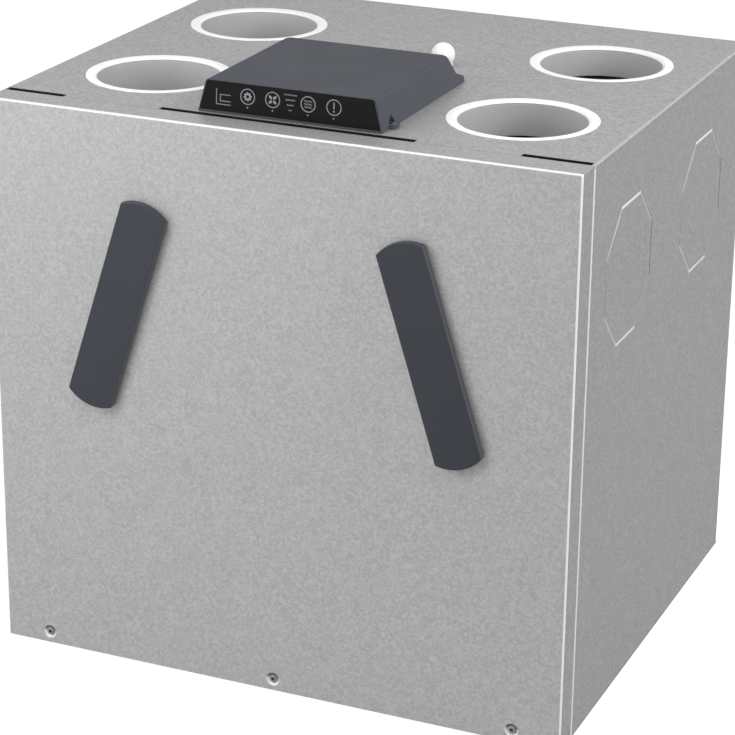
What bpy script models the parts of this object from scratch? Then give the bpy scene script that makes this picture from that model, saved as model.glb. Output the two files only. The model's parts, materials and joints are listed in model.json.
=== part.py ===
"""Small air handling unit with heat recovery: a folded sheet-steel cabinet with four duct ports on top.

Metres, +Z up. The front cover faces -Y and the unit rests on z = 0. The origin is the middle of
the footprint, which runs from the faces of the two filter covers to the back of the hanging
bracket. Lengths called depth are measured back from the front cover's face.
"""

import math

import bmesh
import bpy
from mathutils import Matrix, Vector

# Cabinet
CABINET_WIDTH = 0.600
CABINET_DEPTH = 0.523
CABINET_HEIGHT = 0.571
SHEET = 0.0012            # sheet steel
BEND_RADIUS = 0.0025      # outside of each fold
SEAM = 0.0003             # gap between pieces that touch
FLANGE_WIDTH = 0.014      # folds along the front and back of the side panels
TOP_PANEL_EDGE = 0.003    # how far the top panel turns down over the sides
FOAM_CHAMFER = 0.003

# Front cover, hooked in at the top and screwed on at the bottom
COVER_DEPTH = 0.030
HOOK_DEPTH = 0.0027       # a hook is the sheet folded back on itself
HOOK_DROP = 0.0115
HOOK_TOP_DROP = 0.0007    # from the top of the cover to the top of a hook
HOOK_MARGIN = 0.004       # from the end of a slot to its hook
SLOT_REAR = 0.038         # depth of the rear edge of the slots in the top panel
MIDDLE_OFFSET = -0.0019   # the control box and the slots around it sit a little left of the middle
MIDDLE_SLOT_SHARE = 0.4330  # of the cabinet's width
OUTER_SLOT_LENGTH = 0.0650
OUTER_SLOT_MARGIN = 0.0030
SLOT_CHANNEL_DEPTH = 0.010
SLOT_CHANNEL_HEIGHT = 0.014

# Screws along the bottom of the cover, in pressed dimples
SCREW_SIDE_MARGIN = 0.049  # from the side of the cabinet to the outer screws
SCREW_HEIGHT = 0.0135
DIMPLE_RADIUS = 0.0070
DIMPLE_FLOOR_RADIUS = 0.0045
DIMPLE_DEPTH = 0.0025
SCREW_RADIUS = 0.0020
SCREW_LENGTH = 0.014
SCREW_HEAD_RADIUS = 0.0040
SCREW_HEAD_HEIGHT = 0.0020
SCREW_HEAD_CHAMFER = 0.0006
SCREW_SOCKET_RADIUS = 0.0020
SCREW_SOCKET_DEPTH = 0.0012
BOTTOM_FLANGE_HEIGHT = 0.022

# Filter covers and what is behind them
FILTER_SPACING_SHARE = 0.539  # between the middles of the covers, of the cabinet's width
FILTER_HEADROOM = 0.1065  # from the middle of a cover to the duct blocks above
FILTER_TILT = math.radians(17.6)
FILTER_COVER_WIDTH = 0.0480
FILTER_COVER_LENGTH = 0.2060
FILTER_COVER_BULGE = 0.0075
FILTER_COVER_THICKNESS = 0.0080
FILTER_COVER_EDGE = 0.0008
FILTER_SLOT_WIDTH = 0.0380
FILTER_SLOT_LENGTH = 0.1960
PLUG_CLEARANCE = 0.0055
PLUG_LENGTH = 0.0270
FILTER_WIDTH = 0.190
FILTER_THICKNESS = 0.025
FILTER_REAR_MARGIN = 0.123  # what the filter's length leaves of the cabinet's depth
FILTER_SETBACK = 0.0020   # from the front of the foam to the end of the filter
FILTER_FRAME = 0.004
FILTER_RECESS = 0.003
PULL_STRAP_WIDTH = 0.016
CORE_KNEE_MARGIN = 0.010  # from the filter down to where the split between the core blocks turns upright

# Duct ports
PORT_SPACING_SHARE = 0.635  # of the cabinet's width
PORT_FRONT_SHARE = 0.2776  # of the cabinet's depth, to the front pair's centres
PORT_REAR_SHARE = 0.7132
PORT_INNER_RADIUS = 0.0616
RING_WIDTH = 0.0107
RING_HEIGHT = 0.0026
RING_PROUD = 0.0005
RING_FLAT = 0.0078        # width of the ring's flat top
RING_CHAMFER_DROP = 0.0016
COLLAR_WALL = 0.0024
COLLAR_FLANGE = 0.0045
COLLAR_FLANGE_THICKNESS = 0.0016
COLLAR_DEPTH_LEFT = 0.0420
COLLAR_DEPTH_FRONT_RIGHT = 0.0340
COLLAR_DEPTH_REAR_RIGHT = 0.0291
DUCT_BLOCK_HEIGHT = 0.082

# Knock-outs for ducts on the sides
KNOCKOUT_FLATS = 0.1362
KNOCKOUT_FRONT_SHARE = 0.2763  # of the cabinet's depth, to the front pair's centres
KNOCKOUT_REAR_SHARE = 0.7228
KNOCKOUT_DROP = 0.131     # from the top of the cabinet to their centres
KNOCKOUT_GAP = 0.0003
KNOCKOUT_RIM = 0.0014     # border of the blank, pressed in
KNOCKOUT_RIM_DROP = 0.0003

# Control box on top
BOX_SETBACK = 0.0415
BOX_PORT_GAP = 0.0242     # from its foot to the rings on both sides, but for the offset
BOX_SIDE_LEAN = 0.0078
BOX_HEIGHT = 0.0312
BOX_FRONT_LEAN = 0.0018
BOX_TOP_LENGTH = 0.1820
BOX_REAR_LEAN = 0.0170
BOX_FRONT_CORNER = 0.0012  # radii of the upright corners
BOX_REAR_CORNER = 0.0015  # at the foot
BOX_REAR_CORNER_TOP = 0.0080
BOX_FRONT_ROUND = 0.0009  # bevels along the top
BOX_TOP_ROUND = 0.0034
EAR_REACH = 0.0170        # screw ears behind the rear corners
EAR_WIDTH = 0.0220
EAR_SETBACK = 0.0001      # from the box's side wall to the ear's
EAR_CORNER = 0.0120
EAR_ROOT_HEIGHT = 0.0083  # at the foot of the box
EAR_TIP_HEIGHT = 0.0020
LUG_SETBACK = 0.0250      # screw lugs at the sides, behind the panel
LUG_RADIUS = 0.0095
LUG_REACH = 0.0062
LUG_HEIGHT = 0.0036
WELL_RADIUS = 0.0064      # hollow above each lug, for its screw
WELL_TOP_RADIUS = 0.0024
WELL_TOP = 0.0130
PANEL_SIDE_MARGIN = 0.0014
PANEL_BOTTOM_MARGIN = 0.0024
PANEL_TOP_MARGIN = 0.0011
PANEL_THICKNESS = 0.0018
PANEL_CORNER = 0.0030

# Cap on the cable entry behind the control box
CAP_X_SHARE = 0.5947      # of the control box's half width, from its middle
CAP_GAP = 0.0159          # from the control box's ears to the cap
CAP_RADIUS = 0.0119
CAP_HEIGHT = 0.0260
CAP_FOOT_RADIUS = 0.0095
CAP_NECK_RADIUS = 0.0080
CAP_NECK_LENGTH = 0.0100

# Back and bottom
STAND_OFF = 0.012         # back of the cabinet to the wall
BRACKET_SHARE = 0.70      # of the cabinet's width
BRACKET_DROP = 0.026
BRACKET_LEG = 0.030
SPACER_RADIUS = 0.015
SPACER_TAPER = 0.0015
SPACER_SIDE_MARGIN = 0.080
SPACER_Z = 0.050
DRAIN_SHARE = 0.688       # of the cabinet's depth
DRAIN_RADIUS = 0.020
DRAIN_HEIGHT = 0.012

ROUND_STEPS = 48
SMALL_STEPS = 24

# Worked out from the sizes above
FILTER_COVER_PROUD = FILTER_COVER_THICKNESS + SEAM
OVERALL_DEPTH = FILTER_COVER_PROUD + CABINET_DEPTH + STAND_OFF
FRONT = FILTER_COVER_PROUD - OVERALL_DEPTH / 2
BACK = FRONT + CABINET_DEPTH
HALF_WIDTH = CABINET_WIDTH / 2
FLOOR_TOP = SHEET + SEAM                           # lowest point of what stands on the bottom panel
CEILING = CABINET_HEIGHT - SHEET - SEAM            # highest point of what lies under the top panel
FOAM_HALF_WIDTH = HALF_WIDTH - SHEET - SEAM
CABINET_FRONT = COVER_DEPTH + SEAM
FOAM_FRONT = CABINET_FRONT + SHEET + 2 * SEAM
FOAM_BACK = CABINET_DEPTH - 2 * SHEET - 2 * SEAM
COVER_FOAM_BACK = COVER_DEPTH - SHEET - SEAM       # just in front of the hooks
BOTTOM_FLANGE_DEPTH = DIMPLE_DEPTH + SHEET + SEAM
BLOCK_SPLIT = CEILING - DUCT_BLOCK_HEIGHT
RING_FOOT = CABINET_HEIGHT + RING_PROUD - RING_HEIGHT
RING_OUTER_RADIUS = PORT_INNER_RADIUS + RING_WIDTH
MIDDLE_SLOT_HALF = MIDDLE_SLOT_SHARE * HALF_WIDTH
OUTER_SLOT_START = HALF_WIDTH - OUTER_SLOT_MARGIN - OUTER_SLOT_LENGTH
SCREW_SPACING = HALF_WIDTH - SCREW_SIDE_MARGIN
FILTER_X = FILTER_SPACING_SHARE * HALF_WIDTH
FILTER_Z = BLOCK_SPLIT - FILTER_HEADROOM
FILTER_LENGTH = CABINET_DEPTH - FILTER_REAR_MARGIN
PORT_X = PORT_SPACING_SHARE * HALF_WIDTH
PORT_FRONT = PORT_FRONT_SHARE * CABINET_DEPTH
PORT_REAR = PORT_REAR_SHARE * CABINET_DEPTH
KNOCKOUT_FRONT = KNOCKOUT_FRONT_SHARE * CABINET_DEPTH
KNOCKOUT_REAR = KNOCKOUT_REAR_SHARE * CABINET_DEPTH
KNOCKOUT_Z = CABINET_HEIGHT - KNOCKOUT_DROP
BOX_HALF_WIDTH = PORT_X - RING_OUTER_RADIUS - BOX_PORT_GAP
BOX_TOP_HALF_WIDTH = BOX_HALF_WIDTH - BOX_SIDE_LEAN
BOX_FOOT_LENGTH = BOX_TOP_LENGTH + BOX_REAR_LEAN
EAR_FALL = (EAR_ROOT_HEIGHT - EAR_TIP_HEIGHT) / EAR_REACH
EAR_START = BOX_FOOT_LENGTH - 1.5 * EAR_ROOT_HEIGHT / (BOX_HEIGHT / BOX_REAR_LEAN - EAR_FALL)
CAP_X = MIDDLE_OFFSET + CAP_X_SHARE * BOX_HALF_WIDTH
CAP_DEPTH = BOX_SETBACK + BOX_FOOT_LENGTH + EAR_REACH + CAP_GAP + CAP_RADIUS
BRACKET_WIDTH = BRACKET_SHARE * CABINET_WIDTH
BRACKET_TOP = CABINET_HEIGHT - BRACKET_DROP
SPACER_X = HALF_WIDTH - SPACER_SIDE_MARGIN
DRAIN_DEPTH = DRAIN_SHARE * CABINET_DEPTH

FINISHES = {
    "coated steel": ((0.50, 0.50, 0.51), 0.42, 0.75),
    "white plastic": ((0.88, 0.88, 0.87), 0.35, 0.0),
    "grey plastic": ((0.40, 0.40, 0.41), 0.50, 0.0),
    "slate plastic": ((0.085, 0.095, 0.115), 0.48, 0.0),
    "black gloss": ((0.012, 0.012, 0.013), 0.12, 0.0),
    "black foam": ((0.018, 0.018, 0.019), 0.90, 0.0),
    "filter board": ((0.70, 0.68, 0.62), 0.85, 0.0),
    "screw steel": ((0.55, 0.55, 0.56), 0.30, 1.0),
    "black rubber": ((0.03, 0.03, 0.03), 0.75, 0.0),
}


def new_collection(name):
    collection = bpy.data.collections.new(name)
    bpy.context.scene.collection.children.link(collection)
    return collection


def finish_material(name, finish):
    colour, roughness, metallic = FINISHES[finish]
    material = bpy.data.materials.new(name)
    material.use_nodes = True
    shader = material.node_tree.nodes["Principled BSDF"]
    shader.inputs["Base Color"].default_value = (*colour, 1.0)
    shader.inputs["Roughness"].default_value = roughness
    shader.inputs["Metallic"].default_value = metallic
    return material


def add_part(name, mesh, finish, location=(0, 0, 0), parent=None):
    part = bpy.data.objects.new(name, mesh)
    mesh.materials.append(finish_material(name, finish))
    part.location = location
    part.parent = parent
    parts.objects.link(part)
    return part


def add_cutter(name, mesh, location=(0, 0, 0), parent=None):
    cutter = bpy.data.objects.new(name, mesh)
    cutter.location = location
    cutter.parent = parent
    cutter.hide_render = True
    cutter.display_type = "WIRE"
    cutters.objects.link(cutter)
    return cutter


def add_boolean(part, other, operation="DIFFERENCE"):
    modifier = part.modifiers.new(other.name, "BOOLEAN")
    modifier.operation = operation
    modifier.object = other


def add_bevel(part, width, segments=1):
    modifier = part.modifiers.new("rounded edges", "BEVEL")
    modifier.width = width
    modifier.segments = segments
    modifier.limit_method = "ANGLE"
    modifier.angle_limit = math.radians(30)


def box_mesh(name, low, high):
    """A box between two corners."""
    mesh = bpy.data.meshes.new(name)
    shape = bmesh.new()
    bmesh.ops.create_cube(shape, size=1)
    size = Vector(high) - Vector(low)
    middle = (Vector(high) + Vector(low)) / 2
    shape.transform(Matrix.Translation(middle) @ Matrix.Diagonal((*size, 1)))
    shape.to_mesh(mesh)
    shape.free()
    return mesh


def cylinder_mesh(name, radius, low, high, steps=ROUND_STEPS, top_radius=None):
    """A cylinder or cone about the local Z axis, between two heights."""
    mesh = bpy.data.meshes.new(name)
    shape = bmesh.new()
    bmesh.ops.create_cone(
        shape, cap_ends=True, segments=steps, depth=high - low,
        radius1=radius, radius2=radius if top_radius is None else top_radius,
        matrix=Matrix.Translation((0, 0, (low + high) / 2)),
    )
    shape.to_mesh(mesh)
    shape.free()
    return mesh


def turned_mesh(name, profile, closed, steps=ROUND_STEPS):
    """A profile of (radius, height) points turned about Z, running down its outer side."""
    outline = bpy.data.meshes.new(name + " profile")
    count = len(profile)
    edges = [(i, i + 1) for i in range(count - 1)]
    if closed:
        edges.append((count - 1, 0))
    outline.from_pydata([(radius, 0, height) for radius, height in profile], edges, [])
    holder = bpy.data.objects.new(name, outline)
    screw = holder.modifiers.new("turn", "SCREW")
    screw.steps = steps
    screw.render_steps = steps
    screw.use_merge_vertices = True
    screw.merge_threshold = 0.00001
    mesh = baked_mesh(holder)
    bpy.data.meshes.remove(outline)
    return mesh


def slab_mesh(name, outline, low, high):
    """A flat outline in the local XY plane, filled between two heights."""
    curve = bpy.data.curves.new(name, "CURVE")
    curve.dimensions = "2D"
    curve.fill_mode = "BOTH"
    curve.extrude = (high - low) / 2
    spline = curve.splines.new("POLY")
    spline.points.add(len(outline) - 1)
    for point, (across, along) in zip(spline.points, outline):
        point.co = (across, along, 0, 1)
    spline.use_cyclic_u = True
    mesh = baked_mesh(bpy.data.objects.new(name, curve))
    bpy.data.curves.remove(curve)
    mesh.transform(Matrix.Translation((0, 0, (low + high) / 2)))
    return mesh


def plate_mesh(name, outline, thickness):
    """A flat outline in the local XZ plane, centred on it, as thick as stated along Y."""
    mesh = slab_mesh(name, outline, -thickness / 2, thickness / 2)
    mesh.transform(Matrix.Rotation(math.pi / 2, 4, "X"))
    return mesh


def baked_mesh(holder):
    """The evaluated mesh of an object that is then removed, with its caps welded."""
    bpy.context.scene.collection.objects.link(holder)
    graph = bpy.context.evaluated_depsgraph_get()
    mesh = bpy.data.meshes.new_from_object(holder.evaluated_get(graph))
    bpy.data.objects.remove(holder)
    shape = bmesh.new()
    shape.from_mesh(mesh)
    bmesh.ops.remove_doubles(shape, verts=shape.verts, dist=0.00001)
    shape.to_mesh(mesh)
    shape.free()
    return mesh


def smooth(mesh, angle=35):
    mesh.shade_smooth()
    mesh.set_sharp_from_angle(angle=math.radians(angle))
    return mesh


def folded_sheet(name, low, high, open_sides, finish="coated steel"):
    """Sheet metal folded to the outside of a box, without the sides named by their outward axis."""
    mesh = bpy.data.meshes.new(name)
    shape = bmesh.new()
    bmesh.ops.create_cube(shape, size=1)
    away = [f for f in shape.faces if any(f.normal.dot(Vector(side)) > 0.9 for side in open_sides)]
    bmesh.ops.delete(shape, geom=away, context="FACES")
    size = Vector(high) - Vector(low)
    middle = (Vector(high) + Vector(low)) / 2
    shape.transform(Matrix.Diagonal((*size, 1)))
    shape.to_mesh(mesh)
    shape.free()
    part = add_part(name, mesh, finish, middle)
    add_bevel(part, BEND_RADIUS, segments=4)
    solidify = part.modifiers.new("sheet", "SOLIDIFY")
    solidify.thickness = SHEET
    solidify.offset = -1
    solidify.use_even_offset = True
    return part


def stadium(width, length, bulge, steps=12):
    """Outline of a strip along Z whose ends are arcs that rise by the bulge."""
    radius = (width ** 2 / 4 + bulge ** 2) / (2 * bulge)
    half_angle = math.asin(width / 2 / radius)
    points = []
    for end in (1, -1):
        for i in range(steps + 1):
            angle = half_angle * (1 - 2 * i / steps)
            points.append((
                -end * radius * math.sin(angle),
                end * (length / 2 + bulge - radius + radius * math.cos(angle)),
            ))
    return points


def octagon(flats):
    radius = flats / 2 / math.cos(math.pi / 8)
    angles = [math.pi / 8 + i * math.pi / 4 for i in range(8)]
    return [(radius * math.cos(a), radius * math.sin(a)) for a in angles]


def arc(centre, radius, start, end, steps=6):
    """Points on an arc, angles in degrees."""
    angles = [math.radians(start + (end - start) * i / steps) for i in range(steps + 1)]
    return [(centre[0] + radius * math.cos(a), centre[1] + radius * math.sin(a)) for a in angles]


def side_word(side):
    """The word for a name: right on the +X side."""
    return "right" if side > 0 else "left"


def foam_block(name, low, high):
    block = add_part(name, box_mesh(name, low, high), "black foam")
    add_bevel(block, FOAM_CHAMFER)
    return block


def slot_spans():
    """Where the three slots behind the front cover start and end along X."""
    end = HALF_WIDTH - OUTER_SLOT_MARGIN
    return [
        (-end, MIDDLE_OFFSET - OUTER_SLOT_START),
        (MIDDLE_OFFSET - MIDDLE_SLOT_HALF, MIDDLE_OFFSET + MIDDLE_SLOT_HALF),
        (MIDDLE_OFFSET + OUTER_SLOT_START, end),
    ]


def build_front_cover():
    cover = folded_sheet(
        "front_cover",
        (-HALF_WIDTH, FRONT, FLOOR_TOP), (HALF_WIDTH, FRONT + COVER_DEPTH, CABINET_HEIGHT),
        [(0, 1, 0), (0, 0, -1)],
    )
    flange_inside = HALF_WIDTH - FLANGE_WIDTH - SEAM
    for i, (start, end) in enumerate(slot_spans()):
        hook = add_cutter(f"hook_{i}", box_mesh(
            f"hook_{i}",
            (max(start + HOOK_MARGIN, -flange_inside), FRONT + COVER_DEPTH - SHEET,
             CABINET_HEIGHT - HOOK_DROP),
            (min(end - HOOK_MARGIN, flange_inside), FRONT + COVER_DEPTH - SHEET + HOOK_DEPTH,
             CABINET_HEIGHT - HOOK_TOP_DROP),
        ))
        add_boolean(cover, hook, "UNION")
    for x in (-SCREW_SPACING, 0, SCREW_SPACING):
        build_cover_screw(cover, x)
    return cover


def build_cover_screw(cover, x):
    """A dimple pressed into the cover and the screw that sits in it, both along -Y."""
    name = "cover_screw_" + ("middle" if x == 0 else side_word(x))
    seat = bpy.data.objects.new(name + "_seat", None)
    seat.location = (x, FRONT, SCREW_HEIGHT)
    seat.rotation_euler = (math.pi / 2, 0, 0)
    cutters.objects.link(seat)

    cup = add_cutter(name + "_cup", cylinder_mesh(
        "cup", DIMPLE_FLOOR_RADIUS + SHEET, -DIMPLE_DEPTH - SHEET, -SHEET / 2, SMALL_STEPS,
        top_radius=DIMPLE_RADIUS + SHEET,
    ), parent=seat)
    add_boolean(cover, cup, "UNION")
    dimple_top = SHEET
    slope = (DIMPLE_RADIUS - DIMPLE_FLOOR_RADIUS) / DIMPLE_DEPTH
    dimple = add_cutter(name + "_dimple", cylinder_mesh(
        "dimple", DIMPLE_FLOOR_RADIUS, -DIMPLE_DEPTH, dimple_top, SMALL_STEPS,
        top_radius=DIMPLE_RADIUS + slope * dimple_top,
    ), parent=seat)
    add_boolean(cover, dimple)
    hole_radius = SCREW_RADIUS + SEAM
    hole = add_cutter(name + "_hole", cylinder_mesh(
        "hole", hole_radius, -SCREW_LENGTH, 0, SMALL_STEPS), parent=seat)
    add_boolean(cover, hole)

    head_foot = -DIMPLE_DEPTH + SEAM
    head_top = head_foot + SCREW_HEAD_HEIGHT
    profile = [
        (0, head_top), (SCREW_HEAD_RADIUS - SCREW_HEAD_CHAMFER, head_top),
        (SCREW_HEAD_RADIUS, head_top - SCREW_HEAD_CHAMFER),
        (SCREW_HEAD_RADIUS, head_foot), (SCREW_RADIUS, head_foot), (SCREW_RADIUS, -SCREW_LENGTH),
        (0, -SCREW_LENGTH),
    ]
    screw = add_part(name, smooth(turned_mesh(name, profile, False, SMALL_STEPS)), "screw steel",
                     parent=seat)
    socket = add_cutter(name + "_socket", cylinder_mesh(
        "socket", SCREW_SOCKET_RADIUS, head_top - SCREW_SOCKET_DEPTH, head_top + SHEET, 6),
        parent=seat)
    add_boolean(screw, socket)


def build_bottom_panel():
    panel = folded_sheet(
        "bottom_panel",
        (-HALF_WIDTH, FRONT + BOTTOM_FLANGE_DEPTH, 0), (HALF_WIDTH, BACK, BOTTOM_FLANGE_HEIGHT),
        [(0, 0, 1), (0, 1, 0), (1, 0, 0), (-1, 0, 0)],
    )
    notch = BEND_RADIUS + SHEET
    for side in (-1, 1):
        corner = add_cutter(f"bottom_notch_{side_word(side)}", box_mesh(
            "bottom_notch",
            (-notch, -notch, -notch),
            (notch, notch, 2 * BOTTOM_FLANGE_HEIGHT),
        ), (side * HALF_WIDTH, FRONT + BOTTOM_FLANGE_DEPTH, 0))
        add_boolean(panel, corner)
    for x in (-SCREW_SPACING, 0, SCREW_SPACING):
        word = "middle" if x == 0 else side_word(x)
        add_boolean(panel, bpy.data.objects[f"cover_screw_{word}_hole"])
    drain_hole = add_cutter("drain_hole", cylinder_mesh(
        "drain_hole", DRAIN_RADIUS + SEAM, -SHEET, DRAIN_HEIGHT + 2 * SEAM, SMALL_STEPS),
        (0, FRONT + DRAIN_DEPTH, 0))
    add_boolean(panel, drain_hole)
    return drain_hole


def build_top_panel():
    panel = folded_sheet(
        "top_panel",
        (-HALF_WIDTH, FRONT + CABINET_FRONT, CABINET_HEIGHT - TOP_PANEL_EDGE),
        (HALF_WIDTH, BACK, CABINET_HEIGHT),
        [(0, 0, -1), (0, 1, 0), (0, -1, 0)],
    )
    for i, (start, end) in enumerate(slot_spans()):
        slot = add_cutter(f"hook_slot_{i}", box_mesh(
            "hook_slot",
            (start, FRONT + COVER_DEPTH, CABINET_HEIGHT - 2 * SHEET),
            (end, FRONT + SLOT_REAR, CABINET_HEIGHT + SHEET),
        ))
        add_boolean(panel, slot)
    for name, x, depth, _ in ports():
        hole = add_cutter(f"{name}_hole", cylinder_mesh(
            "port_hole", RING_OUTER_RADIUS + SEAM, -2 * SHEET, SHEET),
            (x, FRONT + depth, CABINET_HEIGHT))
        add_boolean(panel, hole)
    cable_hole = add_cutter("cable_hole", cylinder_mesh(
        "cable_hole", CAP_NECK_RADIUS + SEAM, -CAP_NECK_LENGTH - SEAM, SHEET, SMALL_STEPS),
        (CAP_X, FRONT + CAP_DEPTH, CABINET_HEIGHT))
    add_boolean(panel, cable_hole)
    return cable_hole


def ports():
    """Name, x, depth and collar depth of each duct port."""
    return [
        ("duct_front_left", -PORT_X, PORT_FRONT, COLLAR_DEPTH_LEFT),
        ("duct_front_right", PORT_X, PORT_FRONT, COLLAR_DEPTH_FRONT_RIGHT),
        ("duct_rear_left", -PORT_X, PORT_REAR, COLLAR_DEPTH_LEFT),
        ("duct_rear_right", PORT_X, PORT_REAR, COLLAR_DEPTH_REAR_RIGHT),
    ]


def build_side_panel(side):
    word = side_word(side)
    outer = side * HALF_WIDTH
    inner = side * (HALF_WIDTH - FLANGE_WIDTH)
    panel = folded_sheet(
        f"side_panel_{word}",
        (min(outer, inner), FRONT + CABINET_FRONT, FLOOR_TOP),
        (max(outer, inner), BACK, CABINET_HEIGHT - TOP_PANEL_EDGE - SEAM),
        [(-side, 0, 0), (0, 0, 1), (0, 0, -1)],
    )
    notch_half = FLANGE_WIDTH - OUTER_SLOT_MARGIN
    add_boolean(panel, add_cutter(f"flange_notch_{word}", box_mesh(
        "flange_notch",
        (-notch_half, -SHEET, -SLOT_CHANNEL_HEIGHT), (notch_half, 2 * SHEET, SLOT_CHANNEL_HEIGHT),
    ), (inner, FRONT + CABINET_FRONT, CEILING)))
    for row, depth in (("front", KNOCKOUT_FRONT), ("rear", KNOCKOUT_REAR)):
        place = (side * (HALF_WIDTH - (SHEET + KNOCKOUT_RIM_DROP) / 2), FRONT + depth, KNOCKOUT_Z)
        window = add_cutter(f"knockout_window_{row}_{word}", plate_mesh(
            "knockout_window", octagon(KNOCKOUT_FLATS + 2 * KNOCKOUT_GAP), 3 * SHEET), place)
        blank = add_part(f"knockout_{row}_{word}", knockout_mesh(), "coated steel", place)
        for piece in (window, blank):
            piece.rotation_euler = (0, 0, side * math.pi / 2)
        add_boolean(panel, window)


def knockout_mesh():
    """An octagonal blank that faces local -Y, with a border that is pressed in."""
    mesh = plate_mesh("knockout", octagon(KNOCKOUT_FLATS), SHEET - KNOCKOUT_RIM_DROP)
    shape = bmesh.new()
    shape.from_mesh(mesh)
    shape.normal_update()
    face = [f for f in shape.faces if f.normal.y < -0.9]
    for width, rise in ((KNOCKOUT_RIM, 0), (KNOCKOUT_RIM_DROP, KNOCKOUT_RIM_DROP)):
        bmesh.ops.inset_region(
            shape, faces=face, thickness=width, depth=rise, use_even_offset=True, use_boundary=True)
    shape.to_mesh(mesh)
    shape.free()
    return mesh


def build_back_panel():
    half = HALF_WIDTH - BEND_RADIUS - SEAM
    rear = BACK - SHEET - SEAM
    add_part("back_panel", box_mesh(
        "back_panel", (-half, rear - SHEET, FLOOR_TOP), (half, rear, CEILING)), "coated steel")
    build_hanging_bracket(rear + SEAM)
    for side in (-1, 1):
        spacer = add_part(f"back_spacer_{side_word(side)}", cylinder_mesh(
            "back_spacer", SPACER_RADIUS, 0, BACK + STAND_OFF - rear - SEAM, SMALL_STEPS,
            top_radius=SPACER_RADIUS - SPACER_TAPER), "black rubber",
            (side * SPACER_X, rear + SEAM, SPACER_Z))
        spacer.rotation_euler = (-math.pi / 2, 0, 0)
        smooth(spacer.data)


def build_hanging_bracket(face):
    """A Z-shaped hook across the back: one leg on the panel, the other clear of it and pointing down."""
    depth = BACK + STAND_OFF - face
    web = BRACKET_TOP - BRACKET_LEG
    lower = web - BRACKET_LEG
    near, far = SHEET / 2, depth - SHEET / 2
    centre_line = [(near, BRACKET_TOP), (near, web), (far, web), (far, lower)]
    mesh = bpy.data.meshes.new("hanging_bracket")
    shape = bmesh.new()
    points = [
        [shape.verts.new((side * BRACKET_WIDTH / 2, face + back, z)) for back, z in centre_line]
        for side in (-1, 1)
    ]
    for i in range(len(centre_line) - 1):
        shape.faces.new((points[0][i], points[0][i + 1], points[1][i + 1], points[1][i]))
    shape.to_mesh(mesh)
    shape.free()
    bracket = add_part("hanging_bracket", mesh, "coated steel")
    add_bevel(bracket, BEND_RADIUS - SHEET / 2, segments=3)
    solidify = bracket.modifiers.new("sheet", "SOLIDIFY")
    solidify.thickness = SHEET
    solidify.offset = 0
    solidify.use_even_offset = True


def build_filter_side(side, cover, insulation):
    """One tilted slot with its cover, foam plug and filter, on an empty at the middle of the slot."""
    word = side_word(side)
    seat = bpy.data.objects.new(f"filter_axis_{word}", None)
    seat.location = (side * FILTER_X, FRONT, FILTER_Z)
    seat.rotation_euler = (0, -side * FILTER_TILT, 0)
    parts.objects.link(seat)

    slot_bulge = FILTER_COVER_BULGE / 2
    slot_outline = stadium(FILTER_SLOT_WIDTH, FILTER_SLOT_LENGTH - 2 * slot_bulge, slot_bulge, 8)
    slot = add_cutter(f"filter_slot_{word}", plate_mesh(
        "filter_slot", slot_outline, 2 * CABINET_FRONT), parent=seat)
    add_boolean(cover, slot)
    add_boolean(insulation, slot)

    lid = add_part(f"filter_cover_{word}", plate_mesh("filter_cover", stadium(
        FILTER_COVER_WIDTH, FILTER_COVER_LENGTH, FILTER_COVER_BULGE), FILTER_COVER_THICKNESS),
        "slate plastic", (0, -SEAM - FILTER_COVER_THICKNESS / 2, 0), seat)
    add_bevel(lid, FILTER_COVER_EDGE, segments=2)

    plug_outline = stadium(
        FILTER_SLOT_WIDTH - 2 * PLUG_CLEARANCE,
        FILTER_SLOT_LENGTH - 2 * slot_bulge - 2 * PLUG_CLEARANCE, slot_bulge, 8)
    plug = add_part(f"filter_plug_{word}", plate_mesh("filter_plug", plug_outline, PLUG_LENGTH),
                    "black foam", (0, PLUG_LENGTH / 2, 0), seat)
    add_bevel(plug, FILTER_COVER_EDGE)

    filter_front = FOAM_FRONT + FILTER_SETBACK
    cassette = add_part(f"filter_{word}", box_mesh(
        "filter",
        (-FILTER_THICKNESS / 2, filter_front, -FILTER_WIDTH / 2),
        (FILTER_THICKNESS / 2, filter_front + FILTER_LENGTH, FILTER_WIDTH / 2),
    ), "filter board", parent=seat)
    for end, sign in (("upper", 1), ("lower", -1)):
        recess = add_cutter(f"filter_recess_{end}_{word}", box_mesh(
            "filter_recess",
            (-FILTER_THICKNESS / 2 + FILTER_FRAME, filter_front - FILTER_RECESS, 0),
            (FILTER_THICKNESS / 2 - FILTER_FRAME, filter_front + FILTER_RECESS,
             FILTER_WIDTH / 2 - FILTER_FRAME - PULL_STRAP_WIDTH / 2),
        ), (0, 0, sign * PULL_STRAP_WIDTH / 2), seat)
        if sign < 0:
            recess.rotation_euler = (0, math.pi, 0)
        add_boolean(cassette, recess)
    pocket = add_cutter(f"filter_pocket_{word}", box_mesh(
        "filter_pocket",
        (-FILTER_THICKNESS / 2 - SEAM, FOAM_FRONT - SHEET, -FILTER_WIDTH / 2 - SEAM),
        (FILTER_THICKNESS / 2 + SEAM, filter_front + FILTER_LENGTH + SEAM, FILTER_WIDTH / 2 + SEAM),
    ), parent=seat)
    return pocket


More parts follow.
